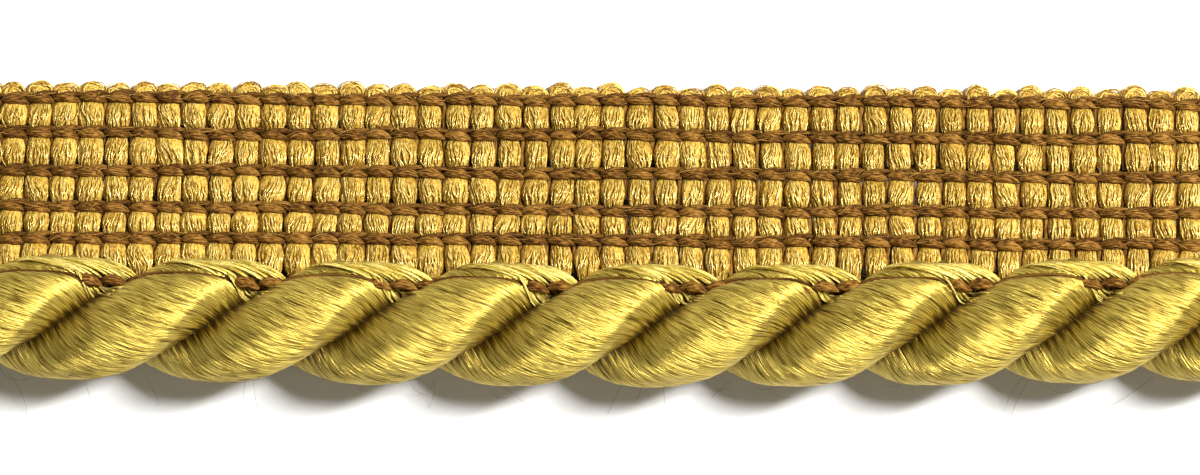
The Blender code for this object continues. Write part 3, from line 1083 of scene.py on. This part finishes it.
# -------- stray fibres
STRAY_COUNT = 170
STRAY_STATIONS = 9
STRAY_RADIUS = 0.000018
STRAY_KEEP = (0.004, 0.012)  # clear of the left and right cut ends
STRAY_RUN = (0.004, 0.009)
STRAY_DRIFT = 0.12  # how far a fibre strays from its neighbours
STRAY_LIFT = (0.00001, 0.00012)
STRAY_FLOOR = 0.00006
HAIR_COUNT = 26
HAIR_STATIONS = 18
HAIR_RADIUS = 0.000012
HAIR_KEEP = 0.006
HAIR_CURL = 2.4
HAIR_RUN = (0.0015, 0.0045)
HAIR_ROOT = 0.0006  # inside the cord's lower edge
HAIR_HEIGHT = 0.55  # share of the axis' height where a hair leaves the cord
HAIR_FALL = 1.5
HAIR_FLOOR = 0.0002
HAIR_TINT = 0.2


def build_stray_fibres(material):
    """Fine fibres that have worked loose from the cord's skin."""
    rng = default_rng(STRAY_SEED)
    hump = np.sin(np.linspace(0, pi, STRAY_STATIONS))
    lines = []
    for number in range(STRAY_COUNT):
        start = rng.uniform(-HALF_LENGTH + STRAY_KEEP[0], HALF_LENGTH - STRAY_KEEP[1])
        x = start + np.linspace(0, rng.uniform(*STRAY_RUN), STRAY_STATIONS)
        theta = pi * (half_turns(x) + number % 2)
        label = rng.uniform(0, LABEL_TURN)
        label = label + np.linspace(0, rng.uniform(-STRAY_DRIFT, STRAY_DRIFT), STRAY_STATIONS)
        lift = STRAY_LIFT[0] + hump * rng.uniform(0.0, STRAY_LIFT[1])
        y, z = ply_point(x, fibre_place(label, theta), theta, lift)
        lines.append(np.stack([x, y, np.maximum(z, STRAY_FLOOR)], axis=-1))
    tint = rng.uniform(0.5, 1, STRAY_COUNT)
    piece = make_fibres("stray_fibres", np.array(lines), STRAY_RADIUS, tint, material)
    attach(piece, "root")


def build_loose_hairs(material):
    """Hairs that have slipped out of the cord and hang at its lower edge."""
    rng = default_rng(HAIR_SEED)
    share = np.linspace(0, 1, HAIR_STATIONS)
    lines = []
    for _ in range(HAIR_COUNT):
        start = rng.uniform(-HALF_LENGTH + HAIR_KEEP, HALF_LENGTH - HAIR_KEEP)
        heading = rng.uniform(-1, 1)
        turn = heading + rng.uniform(-HAIR_CURL, HAIR_CURL) * share
        run = rng.uniform(*HAIR_RUN)
        x = start + np.cumsum(np.sin(turn)) * run / HAIR_STATIONS
        out = np.cumsum(np.cos(turn)) * run / HAIR_STATIONS
        y = cord_y(x) - CORD_RADIUS + HAIR_ROOT - out
        z = AXIS_Z * HAIR_HEIGHT * (1 - share) ** HAIR_FALL + HAIR_FLOOR
        lines.append(np.stack([x, y, z], axis=-1))
    tint = np.full(HAIR_COUNT, HAIR_TINT)
    piece = make_fibres("loose_hairs", np.array(lines), HAIR_RADIUS, tint, material)
    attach(piece, "root")


# -------- camera, light and floor
CAMERA_HEIGHT = 0.60
CAMERA_Y = -0.00017
CAMERA_RANGE = 10.0
SENSOR_WIDTH = 36.0  # millimetres
VIEW_WIDTH = 0.0898  # width of the picture at VIEW_HEIGHT
VIEW_HEIGHT = 0.005
FLOOR = {"Base Color": (0.90, 0.90, 0.89, 1.0), "Roughness": 0.9}
SKY = {"Color": (1.0, 0.95, 0.84, 1.0), "Strength": 0.15}
LIGHTS = (  # name, place, size and power
    ("Key", (0.430, 0.212, 0.52), (0.115, 0.32), 12.0),
    ("Front", (0.0, -0.55, 0.20), (0.90, 0.12), 0.5),
    ("Left", (-0.50, 0.13, 0.12), (0.12, 0.30), 0.8),
)


def add_camera():
    """A long lens straight above the trimming."""
    data = bpy.data.cameras.new("Camera")
    data.lens = SENSOR_WIDTH * (CAMERA_HEIGHT - VIEW_HEIGHT) / VIEW_WIDTH
    data.clip_end = CAMERA_RANGE
    camera = bpy.data.objects.new("Camera", data)
    camera.location = (0.0, CAMERA_Y, CAMERA_HEIGHT)
    SCENE.collection.objects.link(camera)
    SCENE.camera = camera


def add_area_light(name, place, size, power):
    """A soft light that faces the trimming."""
    data = bpy.data.lights.new(name, "AREA")
    data.shape = "RECTANGLE"
    data.size, data.size_y = size
    data.energy = power
    light = bpy.data.objects.new(name, data)
    light.location = place
    light.rotation_euler = (-light.location).to_track_quat("-Z", "Y").to_euler()
    SCENE.collection.objects.link(light)


def add_stage():
    """A pale floor, a pale sky and soft studio lights."""
    bpy.ops.mesh.primitive_plane_add(size=3.0, location=(0, 0, 0))
    floor = bpy.context.object
    floor.name = "floor"
    material, _, _, shader = new_material("Floor")
    set_inputs(shader, FLOOR)
    floor.data.materials.append(material)
    world = bpy.data.worlds.new("Pale sky")
    world.use_nodes = True
    set_inputs(world.node_tree.nodes["Background"], SKY)
    SCENE.world = world
    for light in LIGHTS:
        add_area_light(*light)


def main():
    """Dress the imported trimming."""
    SCENE.view_settings.view_transform = "Standard"
    add_camera()
    add_stage()
    satin = yarn_material("Gold satin", SATIN)
    core = yarn_material("Weft core", WEFT_CORE)
    filament = yarn_material("Weft filament", WEFT_FILAMENT)
    loop = yarn_material("Edge loop", EDGE_LOOP)
    warp = yarn_material("Brown warp", WARP)
    fuzz = yarn_material("Brown fuzz", FUZZ)
    wing = yarn_material("Gold wing", WING)
    for number in (0, 1):
        build_ply(number, satin)
    rng = default_rng(LIP_SEED)
    layout = bundle_layout(rng)
    bundles = build_bundles(rng, layout, core)
    left, right = range(WEFT_COUNT // 2), range(WEFT_COUNT // 2, WEFT_COUNT)
    extras = [
        build_filaments("weft_filaments_left", rng, layout, left, FILAMENTS_ABOVE, filament),
        build_filaments("weft_filaments_right", rng, layout, right, FILAMENTS_ABOVE, filament),
        build_filaments("weft_filaments_under", rng, layout, range(WEFT_COUNT), FILAMENTS_BELOW, core),
        build_edge_loops(rng, layout, loop),
    ]
    paths = []
    for number, reach in enumerate(ROWS):
        path = row_path(default_rng(ROW_SEED + number), layout, reach)
        chain, node = f"warp_chain_{number + 1}", f"chain_row_{number + 1}"
        extras.append(build_chain(chain, node, path, CHAIN_SEED + number, warp))
        paths.append(path)
    extras.append(build_chain_fuzz(paths, fuzz))
    build_chain(
        "warp_chain_binding", "binding_chain", binding_path, BINDING_SEED, warp,
        BINDING_FATNESS, BINDING_KINDS, [build_crease_thread(warp)],
    )
    build_wings(wing)
    extras.append(build_weft_ends(wing))
    build_stray_fibres(satin)
    build_loose_hairs(satin)


main()
